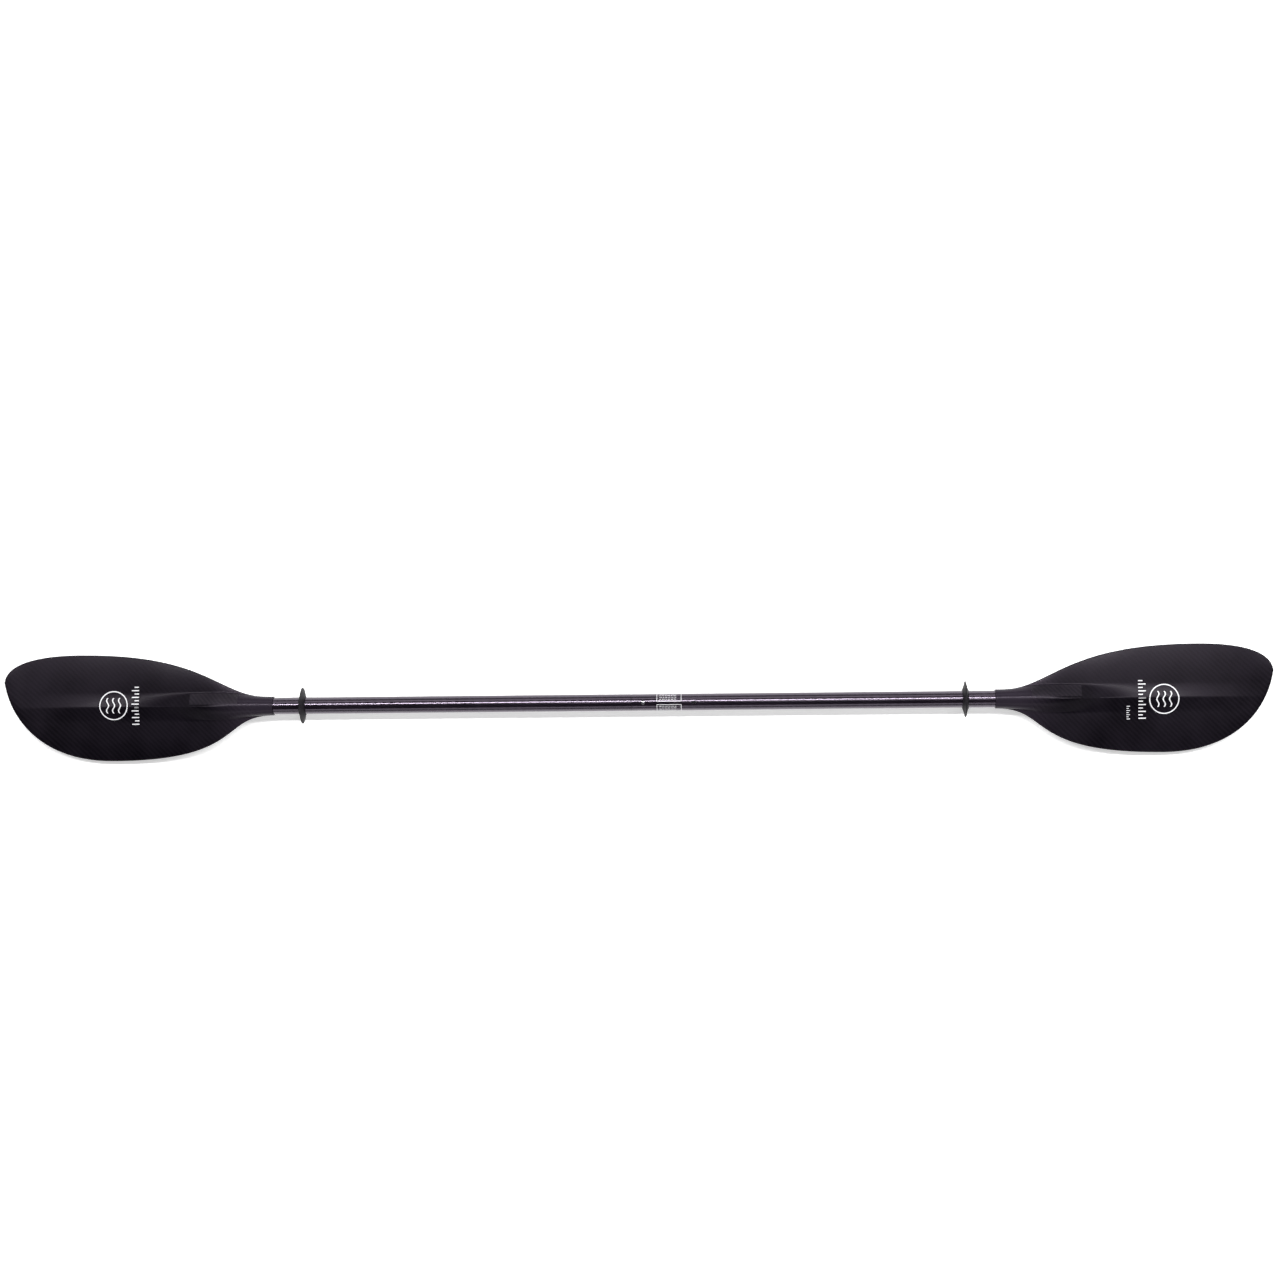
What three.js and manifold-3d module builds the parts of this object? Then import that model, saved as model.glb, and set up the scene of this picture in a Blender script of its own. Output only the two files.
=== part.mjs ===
// Two-piece kayak paddle with a feather-adjustable ferrule, in millimetres.
// +X runs along the shaft to the right blade, +Y across the blades to their long edge, and +Z out of
// the power faces. The origin is on the shaft's axis, where the two halves meet.
import * as THREE from "three";
import { ParametricGeometry } from "three/addons/geometries/ParametricGeometry.js";
import { mergeGeometries, mergeVertices } from "three/addons/utils/BufferGeometryUtils.js";
import Module from "manifold-3d";

// Overall sizes
const PADDLE_LENGTH = 2200;
const BLADE_LENGTH = 472; // from the tip to the end of the blade's neck
const GAP = 0.3; // between pieces that touch or are bonded
const CLEARANCE = 0.3; // between pieces that slide or turn, on the radius
const ROUND_SIDES = 40;
const RING_SIDES = 32; // each flat is as wide as the patch on which the soft ring rests

// Shaft
const SHAFT_RADIUS = 14.75;
const SHAFT_WALL = 1.6;
const SHAFT_INSERTION = 95; // how far the shaft reaches into the blade's neck
const PLUG_LENGTH = 40;

// Drip rings
const RING_STATION = 577; // from mid-shaft
const RING_RADIUS = 31.5;
const RING_BASE_WIDTH = 10.5;
const RING_LIP_WIDTH = 1.6;
const RING_COLLAR_HEIGHT = 1.6;

// Blade outline. The power-face view's upper edge bulges less than its lower edge, and both meet at a
// tip above the axis. Each edge is a straight neck, a flare to the widest station and a run to the tip.
const NECK_WALL = 1.75; // of the blade's neck round the shaft
const TIP_OFFSET = 43;
const UPPER_EDGE = { neck: 13.5, flareOut: 82.5, flareIn: 235, widest: 348, half: 92.2, run: 102, tip: 23 };
const LOWER_EDGE = { neck: 2, flareOut: 94.5, flareIn: 240, widest: 290, half: 95.2, run: 192, tip: -35 };

// Blade section
const EDGE_HALF = 1.2; // half the thickness at the rim
const PLATE_HALF = 3.2; // half the thickness of the flanks
const RIM_BAND = 12; // solid laminate round the foam
const SKIN = 1.2;
const FOAM_GAP = 0.5; // adhesive film round the foam
const SPINE_HALF_WIDTH = 25;
const RIDGE_HEIGHT = 3.6; // crest of the power face over its flanks
const BACK_RIDGE_HEIGHT = 1.2;
const BELLY = 16; // lengthwise hollow of the power face
const TIP_LIFT = 18;
const DIHEDRAL_DROP = 3.5; // how far the edges lie behind the crest

// Ferrule
const FERRULE_BOND = 85; // length bonded into the left tube
const FERRULE_WALL = 2.4;
const FERRULE_WEB = 8;
const SLEEVE_WALL = 2;
const BORE_SHARE = 0.48; // of the spindle's waist
const WAIST_START = 11;
const WAIST_END = 75;
const SLEEVE_START = 1;
const SLEEVE_LENGTH = 91;
const SCALE_LENGTH = 26;
const CAP_THICKNESS = 4;
const LINER_LENGTH = 136;
const LINER_WALL = 1.25;
const BULKHEAD_THICKNESS = 6;

// Button
const BUTTON_STATION = 20;
const BUTTON_RADIUS = 3.2;
const BUTTON_PROUD = 0.7;
const BUTTON_HOLE_CLEARANCE = 0.45;
const ARM_ROOT = 72;
const ARM_WIDTH = 7.2;
const ARM_THICKNESS = 1;
const ARM_SETBACK = 0.7; // of the arm's outer face inside the sleeve's
const ARM_ROOM = 1; // left under the arm when the head is pressed in

// View window
const WINDOW_STATION = 108;
const WINDOW_LENGTH = 9;
const WINDOW_WIDTH = 4.6;

const wasm = await Module();
wasm.setup();
const { clamp, lerp, smoothstep } = THREE.MathUtils;

const NECK_END = PADDLE_LENGTH / 2 - BLADE_LENGTH;
const SHAFT_BORE = SHAFT_RADIUS - SHAFT_WALL;
const BONDED_RADIUS = SHAFT_BORE - GAP;
const LINER_BORE = BONDED_RADIUS - LINER_WALL;
const SLEEVE_RADIUS = LINER_BORE - CLEARANCE;
const SPINDLE_RADIUS = SLEEVE_RADIUS - SLEEVE_WALL - CLEARANCE;
const SLEEVE_END = SLEEVE_START + SLEEVE_LENGTH;
const SCALE_START = SLEEVE_END + CLEARANCE;
const SPINDLE_END = SCALE_START + SCALE_LENGTH;
const NECK_RADIUS = SHAFT_RADIUS + GAP + NECK_WALL;

// The head goes in until it clears the liner's bore, so the waist is that far below the arm.
const ARM_TOP = SLEEVE_RADIUS - ARM_SETBACK;
const BUTTON_TOP = SHAFT_RADIUS + BUTTON_PROUD;
const BUTTON_TRAVEL = BUTTON_TOP - LINER_BORE;
const WAIST_RADIUS = ARM_TOP - ARM_THICKNESS - BUTTON_TRAVEL - ARM_ROOM;
const SPINDLE_BORE = WAIST_RADIUS * BORE_SHARE;

// ---- Turned pieces and booleans

// A profile of [station, radius] corners turned about the shaft's axis.
function turned(corners, sides = ROUND_SIDES) {
  const points = [...corners, corners[0]].map(([x, r]) => new THREE.Vector2(r, x)).reverse();
  return new THREE.LatheGeometry(points, sides).rotateZ(-Math.PI / 2);
}

function tube(from, to, inner, outer) {
  return turned([[from, outer], [from, inner], [to, inner], [to, outer]]);
}

function disc(from, to, radius) {
  return new THREE.CylinderGeometry(radius, radius, to - from, ROUND_SIDES)
    .rotateZ(-Math.PI / 2)
    .translate((from + to) / 2, 0, 0);
}

function block(fromX, toX, width, bottom, top) {
  return new THREE.BoxGeometry(toX - fromX, width, top - bottom)
    .translate((fromX + toX) / 2, 0, (bottom + top) / 2);
}

// An upright round peg, such as the button's head or the hole that it comes out of.
function peg(station, radius, bottom, top) {
  return new THREE.CylinderGeometry(radius, radius, top - bottom, ROUND_SIDES)
    .rotateX(Math.PI / 2)
    .translate(station, 0, (bottom + top) / 2);
}

function toSolid(geometry) {
  const bare = geometry.clone();
  bare.deleteAttribute("normal");
  bare.deleteAttribute("uv");
  const merged = mergeVertices(bare, 1e-3);
  return new wasm.Manifold(
    new wasm.Mesh({
      numProp: 3,
      vertProperties: merged.attributes.position.array,
      triVerts: new Uint32Array(merged.index.array),
    }),
  );
}

function toGeometry(solid) {
  const mesh = solid.getMesh();
  const geometry = new THREE.BufferGeometry();
  geometry.setAttribute("position", new THREE.BufferAttribute(mesh.vertProperties, 3));
  geometry.setIndex(new THREE.BufferAttribute(mesh.triVerts, 1));
  geometry.computeVertexNormals();
  return geometry;
}

function cut(geometry, ...tools) {
  return toGeometry(tools.reduce((rest, tool) => rest.subtract(toSolid(tool)), toSolid(geometry)));
}

function joined(...pieces) {
  return toGeometry(pieces.map(toSolid).reduce((all, piece) => all.add(piece)));
}

function common(first, second) {
  return toGeometry(toSolid(first).intersect(toSolid(second)));
}

// ---- Blade outline

function edgeCurve({ neck, flareOut, flareIn, widest, half, run, tip }, sign) {
  const at = (s, y) => new THREE.Vector2(s, sign * y);
  const end = new THREE.Vector2(BLADE_LENGTH, TIP_OFFSET);
  const curve = new THREE.CurvePath();
  curve.add(new THREE.LineCurve(at(0, NECK_RADIUS), at(neck, NECK_RADIUS)));
  curve.add(
    new THREE.CubicBezierCurve(
      at(neck, NECK_RADIUS),
      at(neck + flareOut, NECK_RADIUS),
      at(widest - flareIn, half),
      at(widest, half),
    ),
  );
  curve.add(
    new THREE.CubicBezierCurve(
      at(widest, half),
      at(widest + run, half),
      end.clone().add(at(0, tip)),
      end,
    ),
  );
  return curve;
}

const upperEdge = edgeCurve(UPPER_EDGE, 1);
const lowerEdge = edgeCurve(LOWER_EDGE, -1);

// The share of an edge's length at which it passes a station.
function shareAt(curve, station) {
  let low = 0;
  let high = 1;
  for (let step = 0; step < 40; step += 1) {
    const middle = (low + high) / 2;
    if (curve.getPointAt(middle).x < station) low = middle;
    else high = middle;
  }
  return (low + high) / 2;
}

// ---- Blade sections
// A section runs from the lower edge over the crest to the upper edge. It is square to the shaft as
// far as the shaft reaches, and then it fans round to follow both edges to the tip.

const NECK_STATIONS = [0, 0.15, 0.33, 0.52, 0.7, 0.86, 1].map((share) => share * SHAFT_INSERTION);
const HOLLOW_START = SHAFT_INSERTION + 2;
const FOAM_SHARES = [0, 0.04, 0.09, 0.15, 0.22, 0.3, 0.38, 0.46, 0.54, 0.62, 0.7, 0.77, 0.83, 0.87, 0.9];
const RIM_SHARES = [0.925, 0.95, 0.97, 0.985];

function sectionBetween(lower, upper, towardTip, tipFade) {
  const centreY = lerp(0, (lower.y + upper.y) / 2, smoothstep(towardTip, 0.75, 1));
  const share = (centreY - lower.y) / (upper.y - lower.y);
  const centre = new THREE.Vector2(lerp(lower.x, upper.x, share), centreY);
  return { lower, upper, centre, tipFade };
}

function neckSection(station) {
  const lower = lowerEdge.getPointAt(shareAt(lowerEdge, station));
  const upper = upperEdge.getPointAt(shareAt(upperEdge, station));
  return sectionBetween(lower, upper, 0, 1);
}

const lowerStart = shareAt(lowerEdge, HOLLOW_START);
const upperStart = shareAt(upperEdge, HOLLOW_START);

function fanSection(share) {
  const lower = lowerEdge.getPointAt(lerp(lowerStart, 1, share));
  const upper = upperEdge.getPointAt(lerp(upperStart, 1, share));
  return sectionBetween(lower, upper, share, 1 - smoothstep(share, 0.9, 1));
}

// Half a section's points, from the crest outwards, as shares of its half width. The neck is round, so
// they are even steps of angle there. Farther out some mark the foot of the spine and the rim band.
const POINTS = 7;
const SPINE_POINTS = [0, 0.4, 0.75, 1];
const FLANK_POINTS = [0.38, 0.75, 1];
const WIDEST_FOOT = 0.55; // where the blade is narrow, near the tip
const NARROWEST_RIM = 0.72;

function spread(half, station) {
  const foot = Math.min(SPINE_HALF_WIDTH / half, WIDEST_FOOT);
  const rim = Math.max(1 - RIM_BAND / half, NARROWEST_RIM);
  const flat = [
    ...SPINE_POINTS.map((share) => share * foot),
    ...FLANK_POINTS.map((share) => lerp(foot, rim, share)),
    1,
  ];
  const flatness = smoothstep(station, 10, SHAFT_INSERTION);
  return flat.map((share, k) => lerp(Math.sin((k / POINTS) * (Math.PI / 2)), share, flatness));
}

// The surface midway between the two faces.
function midHeight(station, share) {
  const u = clamp((station - HOLLOW_START) / (BLADE_LENGTH - HOLLOW_START), 0, 1);
  const spoon = -BELLY * 6.75 * u * u * (1 - u) + TIP_LIFT * u ** 3;
  const drop = DIHEDRAL_DROP * smoothstep(u, 0, 0.25) * (1 - 0.8 * smoothstep(u, 0.55, 1));
  return spoon - drop * Math.abs(share) ** 1.5;
}

// How far a face stands off the middle surface.
function faceHeight(station, y, share, half, tipFade, crest) {
  const spineHeight = NECK_RADIUS - PLATE_HALF * smoothstep(station, 20, SHAFT_INSERTION);
  const fall = smoothstep(station, SHAFT_INSERTION + 5, 250);
  const fade = smoothstep(station, 250, 455);
  const spine = lerp(lerp(spineHeight, crest, fall), 0.4, fade);
  const reach = lerp(NECK_RADIUS, SPINE_HALF_WIDTH, smoothstep(station, 10, SHAFT_INSERTION));
  const q = Math.min(Math.abs(y) / reach, 1);
  const roof = smoothstep(station, 70, 190);
  const hump = spine * lerp(Math.sqrt(1 - q * q), 1 - q, roof);
  const inner = clamp(((1 - Math.abs(share)) * half) / RIM_BAND, 0, 1);
  const plate = lerp(EDGE_HALF, PLATE_HALF, inner) * smoothstep(station, 20, SHAFT_INSERTION);
  return Math.max(EDGE_HALF, lerp(EDGE_HALF, plate + hump, tipFade));
}

// A face's point k of a section, counted from the crest, with its height over the middle surface.
function facePoint(section, k, crest) {
  const edge = k < 0 ? section.lower : section.upper;
  const half = edge.distanceTo(section.centre);
  const share = spread(half, section.centre.x)[Math.abs(k)];
  const spot = section.centre.clone().lerp(edge, share);
  const height = faceHeight(spot.x, spot.y, share, half, section.tipFade, crest);
  return { x: spot.x, y: spot.y, middle: midHeight(spot.x, share), height, share, half, edge };
}

function facePoints(section, crest) {
  return Array.from({ length: 2 * POINTS + 1 }, (_, i) => facePoint(section, i - POINTS, crest));
}

// The space between the skins across a section. Inset draws the foam in from the skins that it fills.
function foamPoints(section, crest, inset) {
  return facePoints(section, crest).map((point, i) => {
    const k = i - POINTS;
    const rim = facePoint(section, Math.sign(k) * (POINTS - 1), crest).share - inset / point.half;
    const flank = facePoint(section, Math.sign(k) * (POINTS - 2), crest).share;
    const toRim = Math.max(Math.abs(k) - (POINTS - 2), 0) / 2;
    const share = toRim > 0 ? lerp(flank, rim, toRim) : point.share;
    const spot = section.centre.clone().lerp(point.edge, share);
    const outside = faceHeight(spot.x, spot.y, share, point.half, section.tipFade, crest);
    return { x: spot.x, y: spot.y, middle: midHeight(spot.x, share), height: outside - SKIN - inset };
  });
}

// The half-round bore that the shaft is bonded in.
function borePoints(section) {
  const radius = SHAFT_RADIUS + GAP;
  return facePoints(section, 0).map((point, i) => {
    const angle = ((i - POINTS) / POINTS) * (Math.PI / 2);
    return { x: point.x, y: radius * Math.sin(angle), middle: 0, height: radius * Math.cos(angle) };
  });
}

// Solid laminate: the inside lies on the parting surface.
function flatPoints(section, crest) {
  return facePoints(section, crest).map((point) => ({ ...point, height: 0 }));
}

// A closed body through rings of points, with each end closed along the ring's middle line. The
// surface's two directions change places where the rings run the other way round, so that two
// surfaces that face each other are split into the same triangles.
function lofted(rings, turnedRound) {
  const count = rings[0].length;
  const flatEnd = (ring) =>
    ring.map((point, j) => point.clone().add(ring[count - 1 - j]).multiplyScalar(0.5));
  const all = [flatEnd(rings[0]), ...rings, flatEnd(rings[rings.length - 1])];
  const last = all.length - 1;
  const at = (around, along, target) =>
    target.copy(all[Math.round(along * last)][Math.round(around * count) % count]);
  return turnedRound
    ? new ParametricGeometry((u, v, target) => at(v, u, target), last, count)
    : new ParametricGeometry((u, v, target) => at(u, v, target), count, last);
}

// Blade coordinates to the paddle's own: side is 1 on the right and -1 on the left.
function placed(point, side, z) {
  return new THREE.Vector3(side * (NECK_END + point.x), point.y, z);
}

// One skin. Face is 1 for the power face and -1 for the back.
function bladeSkin(side, face) {
  const crest = face > 0 ? RIDGE_HEIGHT : BACK_RIDGE_HEIGHT;
  const layers = [
    ...NECK_STATIONS.map(neckSection).map((section) => [section, borePoints(section)]),
    ...FOAM_SHARES.map(fanSection).map((section) => [section, foamPoints(section, crest, 0)]),
    ...RIM_SHARES.map(fanSection).map((section) => [section, flatPoints(section, crest)]),
  ];
  const rings = layers.map(([section, inside]) => {
    const outside = facePoints(section, crest);
    const partingHeight = (point) => point.middle + (face * GAP) / 2;
    const onParting = (point) => placed(point, side, partingHeight(point));
    const standing = (point) => placed(point, side, partingHeight(point) + face * point.height);
    const across = (points) => [onParting(points[0]), ...points.map(standing), onParting(points.at(-1))];
    return face > 0
      ? [...across(outside), ...across(inside).reverse()]
      : [...across(outside).reverse(), ...across(inside)];
  });
  return lofted(rings, side > 0);
}

function bladeCore(side) {
  const rings = FOAM_SHARES.map(fanSection).map((section) => {
    const front = foamPoints(section, RIDGE_HEIGHT, FOAM_GAP);
    const back = foamPoints(section, BACK_RIDGE_HEIGHT, FOAM_GAP);
    return [
      ...front.map((point) => placed(point, side, point.middle + point.height)).reverse(),
      ...back.map((point) => placed(point, side, point.middle - point.height)),
    ];
  });
  const drawnIn = (ring, next) =>
    ring.map((point, j) => point.clone().lerp(next[j], FOAM_GAP / point.distanceTo(next[j])));
  const first = drawnIn(rings[0], rings[1]);
  const last = drawnIn(rings.at(-1), rings.at(-2));
  return lofted([first, ...rings.slice(1, -1), last], side < 0);
}

// ---- Shaft, rings and ferrule

function shaftTube(side) {
  const ends = [(side * GAP) / 2, side * (NECK_END + SHAFT_INSERTION - GAP)].sort((a, b) => a - b);
  return tube(...ends, SHAFT_BORE, SHAFT_RADIUS);
}

function shaftPlug(side) {
  const outer = side * (NECK_END + SHAFT_INSERTION - GAP);
  const ends = [outer, outer - side * PLUG_LENGTH].sort((a, b) => a - b);
  return disc(...ends, BONDED_RADIUS);
}

// A soft ring with flanks that slope to a thin lip. It is turned by half a side, to rest on a flat.
function dripRing() {
  const bore = SHAFT_RADIUS + CLEARANCE;
  const base = RING_BASE_WIDTH / 2;
  const lip = RING_LIP_WIDTH / 2;
  const corners = [
    [-base, bore],
    [base, bore],
    [base, bore + RING_COLLAR_HEIGHT],
    [lip, RING_RADIUS],
    [-lip, RING_RADIUS],
    [-base, bore + RING_COLLAR_HEIGHT],
  ];
  return turned(corners, RING_SIDES).rotateX(Math.PI / RING_SIDES);
}

const windowBox = (margin) =>
  block(
    WINDOW_STATION - WINDOW_LENGTH / 2 + margin,
    WINDOW_STATION + WINDOW_LENGTH / 2 - margin,
    WINDOW_WIDTH - 2 * margin,
    SPINDLE_RADIUS,
    SHAFT_RADIUS * 2,
  );

const buttonHole = () =>
  peg(BUTTON_STATION, BUTTON_RADIUS + BUTTON_HOLE_CLEARANCE, SPINDLE_RADIUS, SHAFT_RADIUS * 2);

const maleFerrule = () =>
  turned([
    [-FERRULE_BOND, BONDED_RADIUS],
    [-FERRULE_BOND, BONDED_RADIUS - FERRULE_WALL],
    [-FERRULE_WEB, BONDED_RADIUS - FERRULE_WALL],
    [-FERRULE_WEB, SPINDLE_BORE],
    [SPINDLE_END, SPINDLE_BORE],
    [SPINDLE_END, SPINDLE_RADIUS],
    [WAIST_END, SPINDLE_RADIUS],
    [WAIST_END, WAIST_RADIUS],
    [WAIST_START, WAIST_RADIUS],
    [WAIST_START, SPINDLE_RADIUS],
    [-GAP, SPINDLE_RADIUS],
    [-GAP, BONDED_RADIUS],
  ]);

const indexSleeve = () =>
  cut(
    tube(SLEEVE_START, SLEEVE_END, SPINDLE_RADIUS + CLEARANCE, SLEEVE_RADIUS),
    block(
      BUTTON_STATION - BUTTON_RADIUS - 2,
      ARM_ROOT + 1,
      ARM_WIDTH + 2 * CLEARANCE,
      0,
      SLEEVE_RADIUS * 2,
    ),
  );

const springButton = () =>
  joined(
    block(
      BUTTON_STATION - BUTTON_RADIUS - 1,
      ARM_ROOT,
      ARM_WIDTH,
      ARM_TOP - ARM_THICKNESS,
      ARM_TOP,
    ),
    peg(BUTTON_STATION, BUTTON_RADIUS, ARM_TOP - ARM_THICKNESS / 2, BUTTON_TOP),
  );

const femaleLiner = () =>
  cut(tube(GAP / 2, LINER_LENGTH, LINER_BORE, BONDED_RADIUS), buttonHole(), windowBox(0));

const rightShaftTube = () => cut(shaftTube(1), buttonHole(), windowBox(0));

const viewWindow = () =>
  common(tube(0, PADDLE_LENGTH, LINER_BORE + GAP, SHAFT_RADIUS - GAP / 2), windowBox(GAP));

// ---- Materials

const finish = (color, roughness, metalness = 0) =>
  new THREE.MeshStandardMaterial({ color, roughness, metalness });
const powerCarbon = finish(0x1b1a20, 0.38);
const backCarbon = finish(0x17161b, 0.42);
const shaftCarbon = finish(0x211f27, 0.35);
const foam = finish(0xd9d2bd, 0.9);
const rubber = finish(0x0e0e10, 0.8);
const mouldedBlack = finish(0x1a1a1c, 0.55);
const mouldedGrey = finish(0x55565a, 0.5);
const mouldedPale = finish(0xd8d8d4, 0.45);
const clearPlastic = finish(0xc9d2d6, 0.1);

// ---- Assembly

function addPiece(group, name, geometry, material) {
  const mesh = new THREE.Mesh(geometry, material);
  mesh.name = name;
  group.add(mesh);
  return mesh;
}

function addHalf(group, name, side, tubeGeometry) {
  addPiece(group, `${name}_shaft_tube`, tubeGeometry, shaftCarbon);
  addPiece(group, `${name}_shaft_plug`, shaftPlug(side), foam);
  addPiece(group, `${name}_power_face_skin`, bladeSkin(side, 1), powerCarbon);
  addPiece(group, `${name}_back_face_skin`, bladeSkin(side, -1), backCarbon);
  addPiece(group, `${name}_blade_core`, bladeCore(side), foam);
  addPiece(group, `${name}_drip_ring`, dripRing(), rubber).position.x = side * RING_STATION;
}

const paddle = new THREE.Group();
const leftHalf = new THREE.Group();
const rightHalf = new THREE.Group();
const ferrule = new THREE.Group();
paddle.add(leftHalf, rightHalf, ferrule);

addHalf(leftHalf, "left", -1, shaftTube(-1));
addHalf(rightHalf, "right", 1, rightShaftTube());

addPiece(ferrule, "male_ferrule", maleFerrule(), mouldedBlack);
addPiece(ferrule, "index_sleeve", indexSleeve(), mouldedGrey);
addPiece(ferrule, "spring_button", springButton(), mouldedGrey);
addPiece(
  ferrule,
  "feather_scale_ring",
  tube(SCALE_START, SPINDLE_END, SPINDLE_RADIUS + GAP, SLEEVE_RADIUS),
  mouldedPale,
);
addPiece(
  ferrule,
  "ferrule_end_cap",
  disc(SPINDLE_END + GAP, SPINDLE_END + GAP + CAP_THICKNESS, SLEEVE_RADIUS),
  mouldedBlack,
);
addPiece(ferrule, "female_liner", femaleLiner(), mouldedBlack);
addPiece(
  ferrule,
  "female_bulkhead",
  disc(LINER_LENGTH + GAP, LINER_LENGTH + GAP + BULKHEAD_THICKNESS, BONDED_RADIUS),
  foam,
);
addPiece(ferrule, "view_window", viewWindow(), clearPlastic);

export default paddle;
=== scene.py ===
# %% [markdown]
# # A two-piece kayak paddle
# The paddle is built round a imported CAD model. The CAD model says where each part is and how it
# moves. This lesson gives the parts that show their smooth shape and their finish: two carbon
# blades, a carbon shaft, rubber drip rings and the ferrule that joins the halves.

# %% Load the frame
import math

import bmesh
import bpy
from mathutils import Matrix, Vector
from mathutils.bvhtree import BVHTree


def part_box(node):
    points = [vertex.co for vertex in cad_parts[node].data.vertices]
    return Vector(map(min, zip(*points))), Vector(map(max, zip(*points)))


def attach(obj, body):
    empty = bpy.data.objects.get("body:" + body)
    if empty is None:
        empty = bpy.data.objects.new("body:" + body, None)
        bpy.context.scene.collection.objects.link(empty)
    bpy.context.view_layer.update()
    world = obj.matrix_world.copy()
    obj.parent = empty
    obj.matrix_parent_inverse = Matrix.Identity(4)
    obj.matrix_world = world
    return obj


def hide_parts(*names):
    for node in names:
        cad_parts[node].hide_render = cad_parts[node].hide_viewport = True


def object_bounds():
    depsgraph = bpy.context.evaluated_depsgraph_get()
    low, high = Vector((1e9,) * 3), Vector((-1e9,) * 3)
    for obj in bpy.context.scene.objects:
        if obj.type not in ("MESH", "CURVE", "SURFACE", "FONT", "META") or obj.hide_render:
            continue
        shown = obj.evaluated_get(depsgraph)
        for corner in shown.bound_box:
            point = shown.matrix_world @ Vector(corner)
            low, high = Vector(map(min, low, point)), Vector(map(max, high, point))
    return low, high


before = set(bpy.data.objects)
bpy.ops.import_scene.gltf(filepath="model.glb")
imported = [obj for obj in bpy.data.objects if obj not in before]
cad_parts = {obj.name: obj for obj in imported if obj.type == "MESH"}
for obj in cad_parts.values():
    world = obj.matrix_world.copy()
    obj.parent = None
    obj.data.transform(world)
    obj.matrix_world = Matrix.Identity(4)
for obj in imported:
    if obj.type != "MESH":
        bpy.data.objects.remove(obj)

MM = 0.001
cad_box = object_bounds()
print("CAD box", [tuple(round(c, 4) for c in corner) for corner in cad_box])

# %% [markdown]
# ## Sizes
# Every size is read from the CAD nodes where it can be, so the looks follow the frame. The rest are
# the rules of the blade's shape, which the smooth blade below repeats with many more points.

# %% Read the sizes
tube_low, tube_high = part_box("right_shaft_tube")
ring_low, ring_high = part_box("right_drip_ring")
button_low, button_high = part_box("spring_button")
window_low, window_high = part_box("view_window")

BLADE_LENGTH = 472 * MM
NECK_RADIUS = 16.8 * MM
NECK_WALL = 1.75 * MM
SHAFT_WALL = 1.6 * MM
RING_RADIUS = 31.5 * MM
SIDES = (("left", -1), ("right", 1))

neck_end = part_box("right_power_face_skin")[0].x
shaft_radius = tube_high.y
shaft_bore = shaft_radius - SHAFT_WALL
shaft_end = tube_high.x
ring_station = (ring_low.x + ring_high.x) / 2
window_centre = (window_low + window_high) / 2
floor_height = cad_box[0][2]
print(f"neck ends at {neck_end:.4f} m, rings sit at {ring_station:.4f} m")
print(f"shaft radius {shaft_radius:.5f} m, bore {shaft_bore:.5f} m")

# %% [markdown]
# ## Nodes that do sums
# A Geometry Nodes tree can work out a surface from a rule, but its Math nodes are slow to read. A
# small class lets a rule be written as a formula: each +, * or / adds one Math node and links it.

# %% Formulas for node trees
class Recipe:
    """A Geometry Nodes tree under construction."""

    def __init__(self, name, sizes):
        self.tree = bpy.data.node_groups.new(name, "GeometryNodeTree")
        self.tree.is_modifier = True
        self.sizes = {}
        sockets = self.tree.interface
        for size in sizes:
            socket = sockets.new_socket(size, in_out="INPUT", socket_type="NodeSocketFloat")
            self.sizes[size] = socket.identifier
        sockets.new_socket("Geometry", in_out="OUTPUT", socket_type="NodeSocketGeometry")
        self.inputs = self.tree.nodes.new("NodeGroupInput")
        self.output = self.tree.nodes.new("NodeGroupOutput")

    def size(self, name):
        return Number(self, self.inputs.outputs[name])

    def node(self, kind, links=None, **settings):
        made = self.tree.nodes.new(kind)
        for key, value in settings.items():
            setattr(made, key, value)
        for key, value in (links or {}).items():
            self.feed(made.inputs[key], value)
        return made

    def feed(self, socket, value):
        if isinstance(value, Number):
            self.tree.links.new(value.socket, socket)
        elif isinstance(value, bpy.types.NodeSocket):
            self.tree.links.new(value, socket)
        else:
            socket.default_value = value

    def sum(self, operation, *values):
        made = self.node("ShaderNodeMath", dict(enumerate(values)), operation=operation)
        return Number(self, made.outputs[0])

    def finish(self, geometry, material):
        real = self.node("GeometryNodeRealizeInstances", {"Geometry": geometry})
        painted = self.node(
            "GeometryNodeSetMaterial", {"Geometry": real.outputs[0], "Material": material}
        )
        self.tree.links.new(painted.outputs[0], self.output.inputs[0])


class Number:
    """A number that the tree works out at every point."""

    def __init__(self, recipe, socket):
        self.recipe = recipe
        self.socket = socket

    def __add__(self, other):
        return self.recipe.sum("ADD", self, other)

    def __sub__(self, other):
        return self.recipe.sum("SUBTRACT", self, other)

    def __rsub__(self, other):
        return self.recipe.sum("SUBTRACT", other, self)

    def __mul__(self, other):
        return self.recipe.sum("MULTIPLY", self, other)

    def __truediv__(self, other):
        return self.recipe.sum("DIVIDE", self, other)

    __radd__ = __add__
    __rmul__ = __mul__

    def power(self, other):
        return self.recipe.sum("POWER", self, other)

    def size(self):
        return self.recipe.sum("ABSOLUTE", self)

    def root(self):
        return self.recipe.sum("SQRT", self)

    def at_least(self, other):
        return self.recipe.sum("MAXIMUM", self, other)

    def at_most(self, other):
        return self.recipe.sum("MINIMUM", self, other)

    def within(self):
        return self.at_least(0.0).at_most(1.0)

    def over(self, other):
        return self.recipe.sum("GREATER_THAN", self, other)

    def ease(self, low, high):
        made = self.recipe.node(
            "ShaderNodeMapRange",
            {"Value": self, "From Min": low, "From Max": high},
            interpolation_type="SMOOTHSTEP",
        )
        return Number(self.recipe, made.outputs[0])


def mix(first, second, share):
    return (second - first) * share + first


print("formula helpers ready")

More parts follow.
